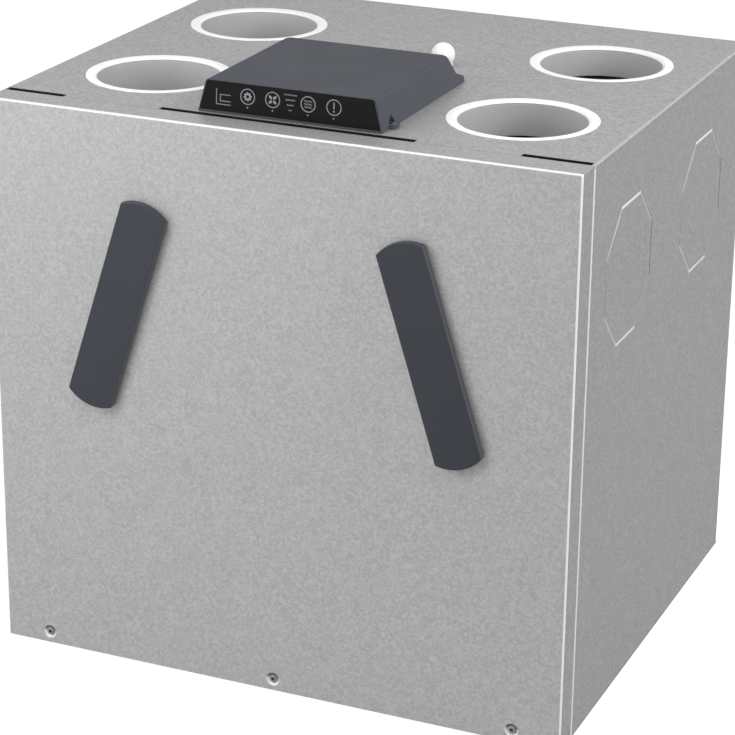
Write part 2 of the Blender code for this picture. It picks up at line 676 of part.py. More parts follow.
def build_insulation():
    """Foam lining of the front cover."""
    lining = foam_block(
        "front_insulation",
        (-FOAM_HALF_WIDTH, FRONT + SHEET + SEAM, FLOOR_TOP),
        (FOAM_HALF_WIDTH, FRONT + COVER_FOAM_BACK, CEILING),
    )
    rebate = add_cutter("insulation_rebate", box_mesh(
        "insulation_rebate",
        (-CABINET_WIDTH, FRONT - SHEET, -SHEET),
        (CABINET_WIDTH, FRONT + BOTTOM_FLANGE_DEPTH + BEND_RADIUS + SEAM,
         BOTTOM_FLANGE_HEIGHT + SEAM)))
    add_boolean(lining, rebate)
    for x in (-SCREW_SPACING, 0, SCREW_SPACING):
        well = add_cutter("screw_well", cylinder_mesh(
            "screw_well", DIMPLE_RADIUS + SHEET, 0, SCREW_LENGTH + SHEET, SMALL_STEPS),
            (x, FRONT, SCREW_HEIGHT))
        well.rotation_euler = (-math.pi / 2, 0, 0)
        add_boolean(lining, well)
    return lining


def core_split(offset):
    """The side of the middle core block, from the bottom up, moved outwards by an offset.

    It follows the inner face of the filter and is upright below the filter.
    """
    inner = (FILTER_THICKNESS / 2 + SEAM) / math.cos(FILTER_TILT)
    knee = FILTER_Z - FILTER_WIDTH / 2 - CORE_KNEE_MARGIN
    points = []
    for z, face_z in ((FLOOR_TOP, knee), (knee, knee), (BLOCK_SPLIT - SEAM,) * 2):
        x = FILTER_X - inner + (FILTER_Z - face_z) * math.tan(FILTER_TILT)
        points.append((x + offset, z))
    return points


def core_block(name, outline):
    """A foam block with this XZ outline, as deep as the foam."""
    mesh = plate_mesh(name, outline, FOAM_BACK - FOAM_FRONT)
    block = add_part(name, mesh, "black foam", (0, FRONT + (FOAM_FRONT + FOAM_BACK) / 2, 0))
    add_bevel(block, FOAM_CHAMFER)
    return block


def build_core(drain_hole, pockets):
    right = core_split(0)
    left = [(-x, z) for x, z in reversed(right)]
    middle = core_block("core_middle", right + left)
    add_boolean(middle, drain_hole)
    inner = core_split(SEAM)
    outline = [*inner, (FOAM_HALF_WIDTH, inner[-1][1]), (FOAM_HALF_WIDTH, inner[0][1])]
    for side, pocket in pockets.items():
        block = core_block(f"core_{side_word(side)}", [(side * x, z) for x, z in outline])
        add_boolean(block, pocket)
    cap_profile = [
        (0, DRAIN_HEIGHT), (DRAIN_RADIUS, DRAIN_HEIGHT), (DRAIN_RADIUS, SHEET / 2), (0, SHEET / 2),
    ]
    cap = add_part("drain_cap", smooth(turned_mesh("drain_cap", cap_profile, False, SMALL_STEPS)),
                   "grey plastic", (0, FRONT + DRAIN_DEPTH, 0))
    grip = add_cutter("drain_grip", cylinder_mesh(
        "drain_grip", DRAIN_RADIUS / 2, 0, DRAIN_HEIGHT / 2, 6), (0, FRONT + DRAIN_DEPTH, 0))
    add_boolean(cap, grip)


def build_duct_blocks(cable_hole):
    """The upper foam, in four blocks that meet between the ports, each with one blind duct chamber."""
    channel = add_cutter("slot_channel", box_mesh(
        "slot_channel",
        (-CABINET_WIDTH, FRONT, CEILING - SLOT_CHANNEL_HEIGHT),
        (CABINET_WIDTH, FRONT + FOAM_FRONT + SLOT_CHANNEL_DEPTH, CABINET_HEIGHT)))
    meeting = (PORT_FRONT + PORT_REAR) / 2
    for name, x, depth, collar_depth in ports():
        side = math.copysign(1, x)
        across = sorted((side * SEAM / 2, side * FOAM_HALF_WIDTH))
        front = depth == PORT_FRONT
        along = (FOAM_FRONT, meeting - SEAM / 2) if front else (meeting + SEAM / 2, FOAM_BACK)
        block = foam_block(
            name.replace("duct", "duct_block"),
            (across[0], FRONT + along[0], BLOCK_SPLIT), (across[1], FRONT + along[1], CEILING))
        add_boolean(block, build_port(name, x, depth, collar_depth))
        if front:
            add_boolean(block, channel)
        if CAP_X * side > 0:
            add_boolean(block, cable_hole)


def build_port(name, x, depth, collar_depth):
    """The white ring and grey collar of one duct port; returns the cutter for their seat in the foam."""
    place = (x, FRONT + depth, 0)
    top = CABINET_HEIGHT + RING_PROUD
    ring = [
        (RING_OUTER_RADIUS, top), (RING_OUTER_RADIUS, RING_FOOT), (PORT_INNER_RADIUS, RING_FOOT),
        (PORT_INNER_RADIUS, top - RING_CHAMFER_DROP), (RING_OUTER_RADIUS - RING_FLAT, top),
    ]
    add_part(f"{name}_ring", smooth(turned_mesh("ring", ring, True)), "white plastic", place)

    collar_top = RING_FOOT - SEAM
    flange_foot = collar_top - COLLAR_FLANGE_THICKNESS
    outer = PORT_INNER_RADIUS + COLLAR_WALL
    bottom = CABINET_HEIGHT - collar_depth
    collar = [
        (outer + COLLAR_FLANGE, collar_top), (outer + COLLAR_FLANGE, flange_foot),
        (outer, flange_foot), (outer, bottom), (PORT_INNER_RADIUS, bottom),
        (PORT_INNER_RADIUS, collar_top),
    ]
    add_part(f"{name}_collar", smooth(turned_mesh("collar", collar, True)), "grey plastic", place)

    seat = [
        (0, top), (RING_OUTER_RADIUS + SEAM, top), (RING_OUTER_RADIUS + SEAM, collar_top),
        (outer + COLLAR_FLANGE + SEAM, collar_top), (outer + COLLAR_FLANGE + SEAM, flange_foot - SEAM),
        (outer + SEAM, flange_foot - SEAM), (outer + SEAM, BLOCK_SPLIT - SHEET), (0, BLOCK_SPLIT - SHEET),
    ]
    return add_cutter(f"{name}_seat", turned_mesh("seat", seat, False), place)


def narrowed(across, height):
    """How far from the middle a point of the control box lies at a height, for its place at the foot."""
    return across * (1 - BOX_SIDE_LEAN / BOX_HALF_WIDTH * height / BOX_HEIGHT)


def build_control_box():
    """Housing with sloping sides, screw ears and lugs, and the black panel let into its front."""
    rear_corner = arc(
        (BOX_HALF_WIDTH - BOX_REAR_CORNER, BOX_FOOT_LENGTH - BOX_REAR_CORNER), BOX_REAR_CORNER, 0, 90)
    right = [(BOX_HALF_WIDTH, 0), *rear_corner]
    left = [(-x, y) for x, y in reversed(right)]
    mesh = slab_mesh("control_box", right + left, 0, BOX_HEIGHT)
    for vertex in mesh.vertices:
        share = vertex.co.z / BOX_HEIGHT
        if vertex.co.y > BOX_FOOT_LENGTH / 2:
            corner = Vector((math.copysign(BOX_HALF_WIDTH, vertex.co.x), BOX_FOOT_LENGTH, vertex.co.z))
            rounder = 1 + share * (BOX_REAR_CORNER_TOP / BOX_REAR_CORNER - 1)
            vertex.co = corner + (vertex.co - corner) * rounder
        toward_rear = vertex.co.y / BOX_FOOT_LENGTH
        vertex.co.x = narrowed(vertex.co.x, vertex.co.z)
        vertex.co.y += share * (BOX_FRONT_LEAN * (1 - toward_rear) - BOX_REAR_LEAN * toward_rear)
    weigh_box_edges(mesh)
    place = (MIDDLE_OFFSET, FRONT + BOX_SETBACK, CABINET_HEIGHT + SEAM)
    box = add_part("control_box", mesh, "slate plastic", place)
    bevel = box.modifiers.new("rounded edges", "BEVEL")
    bevel.width = BOX_TOP_ROUND
    bevel.segments = 4
    bevel.limit_method = "WEIGHT"
    for side in (-1, 1):
        build_box_fixings(box, side)

    panel_seat = bpy.data.objects.new("panel_axis", None)
    panel_seat.location = box.location
    panel_seat.rotation_euler = (-math.atan2(BOX_FRONT_LEAN, BOX_HEIGHT), 0, 0)
    parts.objects.link(panel_seat)
    pocket = add_cutter("panel_pocket", plate_mesh(
        "panel_pocket", panel_outline(SEAM), 2 * (PANEL_THICKNESS + SEAM)), parent=panel_seat)
    add_boolean(box, pocket)
    add_part("control_panel", plate_mesh("control_panel", panel_outline(0), PANEL_THICKNESS),
             "black gloss", (0, PANEL_THICKNESS / 2, 0), panel_seat)


def weigh_box_edges(mesh):
    """Bevel weights: the full width round the top, less along the panel and up the front corners."""
    shape = bmesh.new()
    shape.from_mesh(mesh)
    bmesh.ops.dissolve_limit(
        shape, angle_limit=math.radians(1), verts=shape.verts, edges=shape.edges)
    weight = shape.edges.layers.float.new("bevel_weight_edge")
    for edge in shape.edges:
        ends = [v.co for v in edge.verts]
        on_top = all(end.z > BOX_HEIGHT / 2 for end in ends)
        in_front = all(end.y < BOX_TOP_LENGTH / 2 for end in ends)
        upright = abs(ends[0].z - ends[1].z) > BOX_HEIGHT / 2
        if on_top and in_front:
            edge[weight] = BOX_FRONT_ROUND / BOX_TOP_ROUND
        elif on_top:
            edge[weight] = 1
        elif in_front and upright:
            edge[weight] = BOX_FRONT_CORNER / BOX_TOP_ROUND
    shape.to_mesh(mesh)
    shape.free()


def build_box_fixings(box, side):
    """A screw lug on one side wall, with the hollow above it, and an ear at the rear corner."""
    word = side_word(side)
    lug_middle = side * (BOX_HALF_WIDTH + LUG_REACH - LUG_RADIUS)
    lug = add_cutter(f"box_lug_{word}", cylinder_mesh(
        "box_lug", LUG_RADIUS, 0, LUG_HEIGHT, SMALL_STEPS),
        box.location + Vector((lug_middle, LUG_SETBACK, 0)))
    add_boolean(box, lug, "UNION")
    well = add_cutter(f"box_well_{word}", cylinder_mesh(
        "box_well", WELL_RADIUS, LUG_HEIGHT, WELL_TOP, SMALL_STEPS, top_radius=WELL_TOP_RADIUS),
        box.location + Vector((side * BOX_HALF_WIDTH, LUG_SETBACK, 0)))
    add_boolean(box, well)

    reach = BOX_FOOT_LENGTH + EAR_REACH
    outer = BOX_HALF_WIDTH - EAR_SETBACK
    inner = BOX_HALF_WIDTH - EAR_WIDTH
    corner = arc((outer - EAR_CORNER, reach - EAR_CORNER), EAR_CORNER, 0, 90)
    plan = [(inner, EAR_START), (outer, EAR_START), *corner, (inner, reach)]
    mesh = slab_mesh("box_ear", [(side * x, y) for x, y in plan], 0, 1)
    for vertex in mesh.vertices:
        if vertex.co.z > 0.5:
            vertex.co.z = EAR_ROOT_HEIGHT - EAR_FALL * (vertex.co.y - BOX_FOOT_LENGTH)
        vertex.co.x = narrowed(vertex.co.x, vertex.co.z)
    ear = add_cutter(f"box_ear_{word}", mesh, box.location)
    add_boolean(box, ear, "UNION")


def panel_outline(grow):
    """Trapezoid of the control panel, with its upper corners rounded."""
    low = PANEL_BOTTOM_MARGIN - grow
    high = BOX_HEIGHT - PANEL_TOP_MARGIN + grow
    taper = (BOX_HALF_WIDTH - BOX_TOP_HALF_WIDTH) / BOX_HEIGHT

    def half(z):
        return BOX_HALF_WIDTH - PANEL_SIDE_MARGIN + grow - taper * z

    corner = PANEL_CORNER
    centre = (half(high) - corner, high - corner)
    right = arc(centre, corner, 10, 90, 5)
    left = [(-x, z) for x, z in reversed(right)]
    return [(-half(low), low), (half(low), low), *right, *left]


def build_cable_cap():
    """White ball-shaped cap on the cable entry."""
    foot_angle = math.degrees(math.acos(CAP_FOOT_RADIUS / CAP_RADIUS))
    ball = arc((0, CAP_HEIGHT - CAP_RADIUS), CAP_RADIUS, 90, -foot_angle, 12)
    profile = [
        *ball, (CAP_FOOT_RADIUS, 0), (CAP_NECK_RADIUS, 0), (CAP_NECK_RADIUS, -CAP_NECK_LENGTH),
        (0, -CAP_NECK_LENGTH),
    ]
    add_part("cable_entry_cap", smooth(turned_mesh("cable_entry_cap", profile, False, SMALL_STEPS)),
             "white plastic", (CAP_X, FRONT + CAP_DEPTH, CABINET_HEIGHT + SEAM))


for old in list(bpy.data.objects):
    bpy.data.objects.remove(old)
parts = new_collection("air_handling_unit")
cutters = new_collection("cutters")

front_cover = build_front_cover()
front_insulation = build_insulation()
drain_recess = build_bottom_panel()
cable_recess = build_top_panel()
for side_sign in (-1, 1):
    build_side_panel(side_sign)
build_back_panel()
filter_pockets = {s: build_filter_side(s, front_cover, front_insulation) for s in (-1, 1)}
build_core(drain_recess, filter_pockets)
build_duct_blocks(cable_recess)
build_control_box()
build_cable_cap()
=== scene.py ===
"""Looks of a small air handling unit: finishes, finer mouldings, panel symbols, floor, lamps and camera.

Everything is in metres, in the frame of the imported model: +Z up, the front cover faces -Y.
"""

import json
import math

import bmesh
import bpy
from mathutils import Matrix, Vector


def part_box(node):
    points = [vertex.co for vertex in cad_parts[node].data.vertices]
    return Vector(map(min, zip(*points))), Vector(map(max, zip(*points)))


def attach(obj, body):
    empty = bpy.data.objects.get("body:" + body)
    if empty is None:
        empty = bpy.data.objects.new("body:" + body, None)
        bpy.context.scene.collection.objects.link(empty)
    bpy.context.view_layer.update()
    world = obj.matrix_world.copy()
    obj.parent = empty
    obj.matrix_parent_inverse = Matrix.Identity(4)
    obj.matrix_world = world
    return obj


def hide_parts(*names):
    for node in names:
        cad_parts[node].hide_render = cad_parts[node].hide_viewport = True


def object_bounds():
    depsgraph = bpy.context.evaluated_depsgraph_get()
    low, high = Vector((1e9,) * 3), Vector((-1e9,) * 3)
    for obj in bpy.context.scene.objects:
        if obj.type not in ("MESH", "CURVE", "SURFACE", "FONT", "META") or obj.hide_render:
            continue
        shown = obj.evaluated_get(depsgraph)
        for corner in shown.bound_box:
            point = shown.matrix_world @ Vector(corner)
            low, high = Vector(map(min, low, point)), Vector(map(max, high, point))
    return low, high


# Camera, at the photograph's angle
CAMERA_PLACE = (0.99758, -2.37048, 1.24002)
CAMERA_TURN = 23.123      # degrees to the left of +Y
CAMERA_DROP = 21.041      # degrees below the horizon
CAMERA_ROLL = 0.646
CAMERA_LENS = 129.82

# Lamps: place, edge length and power in watts. Each faces the middle of the unit
LAMPS = {
    "key": ((-1.1, -1.3, 1.0), 0.8, 11.6),
    "front": ((-0.2, -0.9, 1.4), 0.7, 6.7),
    "right": ((1.7, 0.0, 1.6), 1.2, 32),
    "overhead": ((0.0, 0.2, 2.6), 1.6, 1.3),
}
ROOM_LIGHT = 0.23         # of the world, apart from what the camera and mirrors see
FLOOR_GLOW = 0.92         # of the floor, as the camera and mirrors see it
FLOOR_COLOUR = (0.35, 0.35, 0.35, 1)
FLOOR_RADIUS = 9
FLOOR_MIDDLE = 0.001      # radius of the cap in its middle
FLOOR_DEPTH = 0.02

STEPS = 144               # round pieces
CAP_STEPS = 96
SMALL_STEPS = 48
AXIS = 0.0001             # the least radius of a turned piece, at its middle
LIP = 0.0006              # rounding of moulded edges
SMOOTH_ANGLE = math.radians(38)
WELD_DISTANCE = 0.00002
SEAM = 0.0003             # gap between pieces that touch

# Duct ports
PORT_INNER_RADIUS = 0.0616
RING_FLAT = 0.0078
RING_CHAMFER_DROP = 0.0016
COLLAR_WALL = 0.0024
COLLAR_FLANGE_THICKNESS = 0.0016

# Filter covers
FILTER_TILT = math.radians(17.6)
COVER_WIDTH = 0.0480
COVER_LENGTH = 0.2060
COVER_BULGE = 0.0075
COVER_EDGE = 0.0010
COVER_FOOT = 0.0010       # the back of the rim is set in, which leaves a shadow line
COVER_FOOT_INSET = 0.0004
COVER_EDGE_STEPS = 5

# Screws: on the front cover and in the hollows of the control box
SCREW_HEAD_RADIUS = 0.0040
SCREW_HEAD_HEIGHT = 0.0020
SCREW_SOCKET = 0.0020     # middle to corner, on a head of that radius
SCREW_SOCKET_DEPTH = 0.0012
BOX_SCREW_RADIUS = 0.0030
BOX_SCREW_HEIGHT = 0.0016
LUG_SETBACK = 0.0250
LUG_HEIGHT = 0.0036
LUG_REACH = 0.0062
WELL_RADIUS = 0.0064      # of the hollow above each lug, at its foot
WELL_TOP_RADIUS = 0.0024
WELL_TOP = 0.0130

# Cable cap
CAP_FOOT_RADIUS = 0.0095
CAP_NECK_RADIUS = 0.0080
CAP_ARC_STEPS = 32

# Painted highlight lines on the side panels
FOLD_HIGHLIGHT_BAND = 0.0042        # width of the painted highlight band along the front fold
KNOCKOUT_HIGHLIGHT_WIDTH = 0.0022     # width of the painted highlight on the border of each knock-out
KNOCKOUT_GAP = 0.0003

# Symbols on the control panel: across from its middle, and up from the foot of the box
BOX_FRONT_LEAN = 0.0018
SYMBOL_HEIGHT = 0.0187
SYMBOL_RADIUS = 0.0076
SYMBOL_LINE = 0.0009
SYMBOL_THICKNESS = 0.00008
DOT_HEIGHT = 0.0084
DOT_RADIUS = 0.0008
GEAR_X = -0.0425
GEAR_TIP, GEAR_ROOT, GEAR_HOLE = 0.0043, 0.0034, 0.0016    # radii
FAN_X = -0.0169
BLADE_MIDDLE, BLADE_LENGTH, BLADE_WIDTH = 0.0031, 0.0021, 0.0013    # from the fan's middle; half axes
LEVELS_X = 0.0011
LEVEL_ROWS = ((0.0066, 7), (0.0050, 6), (0.0036, 4), (0.0018, 2))   # half length and count of dots
LEVEL_TOP, LEVEL_STEP, LEVEL_DOT = 0.0066, 0.0048, 0.00055
FILTER_SYMBOL_X = 0.0192
WAVE_LENGTH, WAVE_RISE, WAVE_LINE, WAVE_GAP = 0.0080, 0.0006, 0.0004, 0.0028
WAVE_STEPS = 24
ALERT_X = 0.0452
ALERT_LINE, ALERT_FOOT, ALERT_TOP = 0.0006, -0.0016, 0.0048
ALERT_DOT, ALERT_DOT_DROP = 0.0009, 0.0038
SOCKET_LEFT = -0.0750
SOCKET_FOOT = 0.0082
SOCKET_SIZE = 0.0150
SOCKET_INNER_LEFT, SOCKET_INNER_FOOT, SOCKET_INNER_TOP = 0.0040, 0.0032, 0.0100

# Coated sheet: its two tones, and the scale and share of what they follow
STEEL_DARK = (0.426, 0.426, 0.428)
STEEL_LIGHT = (0.534, 0.534, 0.536)
STEEL = 0.480             # between the two
BODY_PAINTED_SHADE = 0.49         # painted shade on the body's panels: the same sheet as the front cover, set darker
# painted shade on the top panel and the cover's top return: the same sheet, set darker
TOP_PAINTED_SHADE = 0.645
FLAKE_SCALE, FLAKE_SHARE = 500, 0.12
STROKE_SCALE, STROKE_SHARE = 140, 0.64
GRAIN_SCALE, GRAIN_SHARE = 600, 0.24

# Painted highlights on folds and edges, painted shade on dimples and on the cut edges of slots, and how
# strongly each is laid on
BLACK = (0, 0, 0)
EDGE_HIGHLIGHT_COLOUR = (0.70, 0.70, 0.70)
UPRIGHT_FOLD_HIGHLIGHT = (0.94, 0.94, 0.94)
TOP_FOLD_HIGHLIGHT = 0.25
# painted shade on the upper wall of each dimple, and how strongly it is laid on
DIMPLE_SHADE = (0.15, 0.15, 0.15)
DIMPLE_STRENGTH = 0.85
# near black: the dark raw steel of the slots' cut edges with painted shade
CUT_EDGE_SHADE = (0.012, 0.012, 0.013)
SLANTING_HIGHLIGHT, UPRIGHT_HIGHLIGHT = 0.35, 0.05    # strength of a knock-out's painted highlight line, where a level one is 1

# Slate plastic, with painted light on its side walls and wells and painted shade on the box's top
SLATE_COLOUR = (0.072, 0.077, 0.091)
SLATE_PAINTED_LIGHT = (0.16, 0.165, 0.18)
LID_SIDE, BOX_SIDE, WELL = 0.9, 0.12, 0.7    # how strongly the painted light is laid on
PAINTED_SHADE_ON_BOX_TOP = 0.20

SIDES = (("left", -1), ("right", 1))

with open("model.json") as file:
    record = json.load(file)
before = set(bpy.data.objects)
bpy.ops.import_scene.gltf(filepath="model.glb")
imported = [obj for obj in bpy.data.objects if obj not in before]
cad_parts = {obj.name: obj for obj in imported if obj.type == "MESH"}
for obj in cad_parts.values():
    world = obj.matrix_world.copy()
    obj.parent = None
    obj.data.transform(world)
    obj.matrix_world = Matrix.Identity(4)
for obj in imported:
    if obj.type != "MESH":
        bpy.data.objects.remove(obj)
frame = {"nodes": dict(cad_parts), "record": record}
cad_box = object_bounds()
node = frame["nodes"]


def circle_loop(radius, z, steps=STEPS):
    """A level circle about the local Z axis. The radius may be a function of the angle."""
    loop = []
    for i in range(steps):
        angle = 2 * math.pi * i / steps
        r = radius(angle) if callable(radius) else radius
        loop.append((r * math.cos(angle), r * math.sin(angle), z))
    return loop


def loft(name, loops, cyclic=False):
    """A closed skin through loops that all have as many points."""
    mesh = bpy.data.meshes.new(name)
    count = len(loops[0])
    points = [point for loop in loops for point in loop]
    faces = []
    for row in range(len(loops) if cyclic else len(loops) - 1):
        low, high = row * count, (row + 1) % len(loops) * count
        for i in range(count):
            j = (i + 1) % count
            faces.append((low + i, low + j, high + j, high + i))
    if not cyclic:
        faces.append(tuple(reversed(range(count))))
        faces.append(tuple(range(len(points) - count, len(points))))
    mesh.from_pydata(points, [], faces)
    shape = bmesh.new()
    shape.from_mesh(mesh)
    bmesh.ops.recalc_face_normals(shape, faces=shape.faces)
    shape.to_mesh(mesh)
    shape.free()
    return mesh


def rounded(profile, radius, cyclic=False, steps=4):
    """The profile with each corner, apart from the ends of an open one, turned into an arc."""
    points = [Vector(p) for p in profile]
    done = []
    for i, point in enumerate(points):
        if not cyclic and i in (0, len(points) - 1):
            done.append(tuple(point))
            continue
        before = points[i - 1] - point
        after = points[(i + 1) % len(points)] - point
        half = before.angle(after) / 2
        reach = min(radius / math.tan(half), before.length / 2.01, after.length / 2.01)
        start, end = point + before.normalized() * reach, point + after.normalized() * reach
        for k in range(steps + 1):
            t = k / steps
            done.append(tuple((1 - t) ** 2 * start + 2 * t * (1 - t) * point + t ** 2 * end))
    return done


def turned(name, profile, cyclic=False, steps=STEPS):
    """A (radius, height) profile turned about the local Z axis."""
    return loft(name, [circle_loop(radius, z, steps) for radius, z in profile], cyclic)


def add_piece(mesh, material, body="cabinet", place=(0, 0, 0), turn=None, replaces=()):
    """An object of this mesh that rides on a body and stands for the CAD nodes named."""
    piece = bpy.data.objects.new(mesh.name, mesh)
    bpy.context.scene.collection.objects.link(piece)
    mesh.materials.append(material)
    mesh.shade_smooth()
    mesh.set_sharp_from_angle(angle=SMOOTH_ANGLE)
    piece.matrix_world = Matrix.Translation(place) @ (turn or Matrix.Identity(4))
    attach(piece, body)
    if replaces:
        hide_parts(*replaces)
    return piece


def add_weighted_normals(piece):
    modifier = piece.modifiers.new("even flats", "WEIGHTED_NORMAL")
    modifier.keep_sharp = True
    modifier.weight = 100


class Finish:
    """One material: its Principled shader and the nodes that feed it."""

    def __init__(self, name, colour, roughness, **values):
        self.material = bpy.data.materials.new(name)
        self.material.use_nodes = True
        self.tree = self.material.node_tree
        self.shader = self.tree.nodes["Principled BSDF"]
        self.colour = (*colour, 1)
        self.set(self.shader, {"Base Color": self.colour, "Roughness": roughness, **values})
        coordinates = self.add("TexCoord")
        self.position = coordinates.outputs["Object"]
        self.normal = coordinates.outputs["Normal"]

    def set(self, target, inputs):
        for key, value in inputs.items():
            if isinstance(value, bpy.types.NodeSocket):
                self.tree.links.new(value, target.inputs[key])
            else:
                target.inputs[key].default_value = value

    def add(self, kind, inputs=None, **settings):
        made = self.tree.nodes.new("ShaderNode" + kind)
        for key, value in settings.items():
            setattr(made, key, value)
        self.set(made, inputs or {})
        return made

    def maths(self, operation, first, second=0.0):
        return self.add("Math", {0: first, 1: second}, operation=operation).outputs[0]

    def blend(self, shares):
        """The sum of sockets, each times its share."""
        total = 0.0
        for value, share in shares:
            total = self.maths("ADD", total, self.maths("MULTIPLY", value, share))
        return total

    def remap(self, value, low, high, to_low=0.0, to_high=1.0):
        return self.add("MapRange", {
            "Value": value, "From Min": low, "From Max": high, "To Min": to_low, "To Max": to_high,
        }).outputs["Result"]

    def noise(self, scale, detail=2.0, roughness=0.5, distortion=0.0):
        return self.add("TexNoise", {
            "Vector": self.position, "Scale": scale, "Detail": detail, "Roughness": roughness,
            "Distortion": distortion,
        }).outputs["Fac"]

    def cells(self, scale, output="Distance"):
        return self.add("TexVoronoi", {"Vector": self.position, "Scale": scale}).outputs[output]

    def along(self, vector, axis):
        """One of the three parts of a vector, by the letter of its axis."""
        return self.add("SeparateXYZ", {0: vector}).outputs[axis]

    def mix(self, factor, first, second):
        made = self.add("Mix", data_type="RGBA")
        for name, value in (("Factor", factor), ("A", first), ("B", second)):
            socket = next(s for s in made.inputs if s.enabled and s.name == name)
            if isinstance(value, bpy.types.NodeSocket):
                self.tree.links.new(value, socket)
            else:
                socket.default_value = value
        return next(s for s in made.outputs if s.enabled)

    def paint(self, factor, colour):
        """Lays a colour over the surface where the factor is 1."""
        self.colour = self.mix(factor, self.colour, (*colour, 1))
        self.set(self.shader, {"Base Color": self.colour})

    def vary(self, factor, first, second):
        """Runs the base colour from one colour to another."""
        self.colour = (*first, 1)
        self.paint(factor, second)

    def bump(self, height, strength, distance):
        made = self.add("Bump", {"Height": height, "Strength": strength, "Distance": distance})
        self.set(self.shader, {"Normal": made.outputs["Normal"]})

    def off_axis(self):
        """1 where a surface leans away from the three main directions, as on a fold, and 0 on the flats."""
        leaning = self.add("VectorMath", {0: self.normal}, operation="ABSOLUTE").outputs[0]
        most = self.maths("MAXIMUM", self.along(leaning, "X"), self.along(leaning, "Y"))
        most = self.maths("MAXIMUM", most, self.along(leaning, "Z"))
        return self.remap(most, 0.985, 0.93)


def coated_steel(name, shade=BODY_PAINTED_SHADE, contrast=0.75):
    """Aluminium-zinc coated sheet, pale strokes over fine flakes; gives its Finish. Its shade scales both
    tones down as painted shade.
    """
    finish = Finish(name, STEEL_LIGHT, 0.45, Metallic=0.25)
    flake = finish.add("SeparateColor", {0: finish.cells(FLAKE_SCALE, "Color")}).outputs[0]
    stroke = finish.noise(STROKE_SCALE, 1.5, 0.5, 2.5)
    tone = finish.blend([
        (flake, FLAKE_SHARE), (finish.remap(stroke, 0.35, 0.65), STROKE_SHARE),
        (finish.noise(GRAIN_SCALE), GRAIN_SHARE),
    ])
    dark, light = (
        [shade * (STEEL + (c - STEEL) * contrast) for c in colour] for colour in (STEEL_DARK, STEEL_LIGHT))
    finish.vary(finish.remap(tone, 0.20, 0.85), dark, light)
    finish.set(finish.shader, {"Roughness": finish.remap(tone, 0.25, 0.95, 0.52, 0.38)})
    finish.bump(tone, 0.10, 0.0002)
    return finish


def cover_steel():
    """The front cover: painted shade makes its returns as dark as the body, and painted highlights make its
    folds pale, the upright ones most. Painted shade darkens the upper wall of each dimple."""
    finish = coated_steel("coated_steel_cover", 1.0, 1.0)
    # painted shade: the returns, facing sideways and up, are darkened to the body's and top's painted shade
    for axis, shade in (("X", BODY_PAINTED_SHADE), ("Z", TOP_PAINTED_SHADE)):
        part = finish.maths("ABSOLUTE", finish.along(finish.normal, axis))
        finish.paint(finish.remap(part, 0.5, 0.95, 0.0, 1 - shade), BLACK)
    forward = finish.remap(finish.along(finish.normal, "Y"), -0.10, -0.25)
    # painted highlight on the folds, brightest on the upright ones
    fold = finish.maths("MULTIPLY", finish.off_axis(), forward)
    finish.paint(fold, EDGE_HIGHLIGHT_COLOUR)
    sideways = finish.remap(finish.maths("ABSOLUTE", finish.along(finish.normal, "X")), 0.15, 0.4)
    finish.paint(finish.maths("MULTIPLY", fold, sideways), UPRIGHT_FOLD_HIGHLIGHT)
    # painted shade on the upper wall of each dimple
    downward = finish.remap(finish.along(finish.normal, "Z"), -0.10, -0.25, 0.0, DIMPLE_STRENGTH)
    finish.paint(finish.maths("MULTIPLY", fold, downward), DIMPLE_SHADE)
    return finish.material


def top_steel():
    """The top panel: a faint painted highlight on its side folds; the cut edges of its slots are dark raw
    steel with painted shade over it, near black.
    """
    finish = coated_steel("coated_steel_top", TOP_PAINTED_SHADE, 1.2)
    finish.paint(finish.maths("MULTIPLY", finish.off_axis(), TOP_FOLD_HIGHLIGHT), EDGE_HIGHLIGHT_COLOUR)
    finish.paint(finish.remap(finish.along(finish.normal, "Y"), -0.5, -0.9), CUT_EDGE_SHADE)
    return finish.material


def knockout_highlight_lines(finish):
    """How far a point of a side panel lies from the middle of its knock-out, square to the octagon's
    sides, how strong the painted highlight line there is, and half the octagon's width. Level lines are the
    strongest."""
    front, rear = (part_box(f"knockout_{row}_right") for row in ("front", "rear"))
    middles = [(low + high) / 2 for low, high in (front, rear)]
    between, spacing = (middles[0].y + middles[1].y) / 2, middles[1].y - middles[0].y
    along = finish.maths("ABSOLUTE", finish.maths("SUBTRACT", finish.along(finish.position, "Y"), between))
    along = finish.maths("ABSOLUTE", finish.maths("SUBTRACT", along, spacing / 2))
    up = finish.maths("ABSOLUTE", finish.maths("SUBTRACT", finish.along(finish.position, "Z"), middles[0].z))
    slant = finish.maths("MULTIPLY", finish.maths("ADD", along, up), math.sqrt(0.5))
    reach = finish.maths("MAXIMUM", slant, finish.maths("MAXIMUM", along, up))
    level, leaning = (finish.remap(finish.maths("SUBTRACT", part, reach), -LIP, 0.0) for part in (up, slant))
    strength = finish.maths("ADD", finish.blend([(level, 1.0), (leaning, SLANTING_HIGHLIGHT)]), UPRIGHT_HIGHLIGHT)
    return reach, strength, front[1].z - middles[0].z


def side_steel():
    """A side panel: a painted highlight band along its front fold, and painted highlights on the edges where
    the knock-outs sit.
    """
    finish = coated_steel("coated_steel_side")
    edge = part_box("side_panel_right")[0].y + FOLD_HIGHLIGHT_BAND
    finish.paint(finish.remap(finish.along(finish.position, "Y"), edge, edge - LIP / 2), EDGE_HIGHLIGHT_COLOUR)
    reach, strength, half = knockout_highlight_lines(finish)
    rim = finish.remap(reach, half + KNOCKOUT_GAP + LIP / 3, half + KNOCKOUT_GAP + LIP / 6)
    finish.paint(finish.maths("MULTIPLY", rim, strength), EDGE_HIGHLIGHT_COLOUR)
    return finish.material


